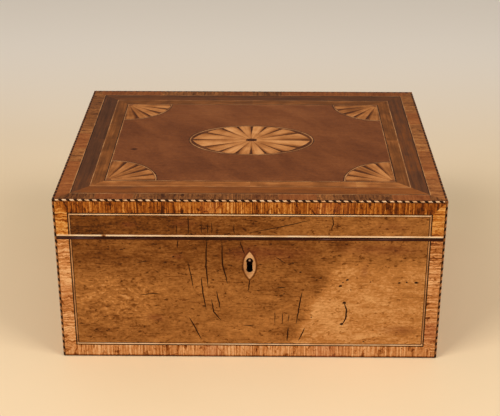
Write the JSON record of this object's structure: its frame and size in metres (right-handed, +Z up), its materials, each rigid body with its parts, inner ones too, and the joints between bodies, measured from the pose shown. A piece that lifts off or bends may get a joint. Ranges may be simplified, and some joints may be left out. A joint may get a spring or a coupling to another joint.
{
  "type": "veneered knife box",
  "caption": "Rectangular veneered table box with a hinged lid, fan and oval inlay, crossbanded edges, a box lock and a rack for knives inside.",
  "frame": {"origin": "under the middle of the box, on the surface that it stands on", "axes": "+X to the right along the width, +Y from the front to the back, +Z up"},
  "size_m": [0.356, 0.292, 0.165],
  "materials": {
    "carcass_pine": "bare old pine, waxed at the rims",
    "golden_veneer": "golden brown figured veneer, old satin polish",
    "crossband_veneer": "light orange veneer with the grain across the band, old satin polish",
    "dark_band_veneer": "dark brown veneer, old satin polish",
    "inner_band_veneer": "mid brown veneer, old satin polish",
    "mahogany_veneer": "reddish brown mahogany veneer, old satin polish",
    "boxwood_line": "pale boxwood, old satin polish",
    "ebony_line": "black stained wood, old satin polish",
    "petal_veneer": "light veneer shaded in hot sand, old satin polish",
    "scorched_ray": "scorched dark veneer, old satin polish",
    "lacquered_brass": "old lacquered brass, dulled",
    "lock_steel": "filed steel, oiled",
    "green_baize": "green wool baize",
    "mahogany_fitting": "solid mahogany, thin polish"
  },
  "bodies": {
    "base": {"underside_baize": "green_baize", "bottom_board": "carcass_pine", "base_front_board": "carcass_pine", "base_back_board": "carcass_pine", "base_left_board": "carcass_pine", "base_right_board": "carcass_pine", "base_front_veneer": "golden_veneer", "base_back_veneer": "golden_veneer", "base_side_veneers": "golden_veneer", "base_crossbands": "crossband_veneer", "base_light_strings": "boxwood_line", "base_dark_strings": "ebony_line", "base_rim_line": "ebony_line", "base_corner_stringing_light": "boxwood_line", "base_corner_stringing_dark": "ebony_line", "escutcheon": "boxwood_line", "lock_plate": "lacquered_brass", "lock_case": "lacquered_brass", "lock_spring": "lock_steel", "lock_key_pin": "lacquered_brass", "lock_screws": "lacquered_brass", "hinge_base_leaves": "lacquered_brass", "hinge_base_screws": "lacquered_brass", "hinge_pins": "lock_steel", "floor_lining": "green_baize", "wall_lining": "green_baize", "long_divider": "mahogany_fitting", "handle_rack": "mahogany_fitting", "blade_rack": "mahogany_fitting"},
    "bolt": {"lock_bolt": "lock_steel"},
    "lid": {"lid_top_board": "carcass_pine", "lid_front_rail": "carcass_pine", "lid_back_rail": "carcass_pine", "lid_left_rail": "carcass_pine", "lid_right_rail": "carcass_pine", "top_outer_crossband": "crossband_veneer", "top_dark_band": "dark_band_veneer", "top_inner_band": "inner_band_veneer", "top_light_strings": "boxwood_line", "top_dark_strings": "ebony_line", "top_field": "mahogany_veneer", "oval_petals": "petal_veneer", "oval_centre": "mahogany_veneer", "fan_petals": "petal_veneer", "inlay_rays": "scorched_ray", "inlay_ground": "mahogany_veneer", "lid_front_veneer": "golden_veneer", "lid_side_veneers": "golden_veneer", "lid_back_veneer": "golden_veneer", "lid_crossbands": "crossband_veneer", "lid_light_strings": "boxwood_line", "lid_dark_strings": "ebony_line", "lid_edge_stringing_light": "boxwood_line", "lid_edge_stringing_dark": "ebony_line", "link_plate": "lacquered_brass", "link_plate_screws": "lacquered_brass", "hinge_lid_leaves": "lacquered_brass", "hinge_lid_screws": "lacquered_brass", "lid_lining": "green_baize"}
  },
  "joints": [
    {"name": "lid_hinge", "type": "hinge", "parent": "base", "child": "lid", "pos_m": [0, 0.143, 0.1282], "axis": [-1, 0, 0], "range_deg": [0, 98]},
    {"name": "bolt_slide", "type": "slide", "parent": "base", "child": "bolt", "axis": [1, 0, 0], "range_m": [0, 0.005]}
  ]
}
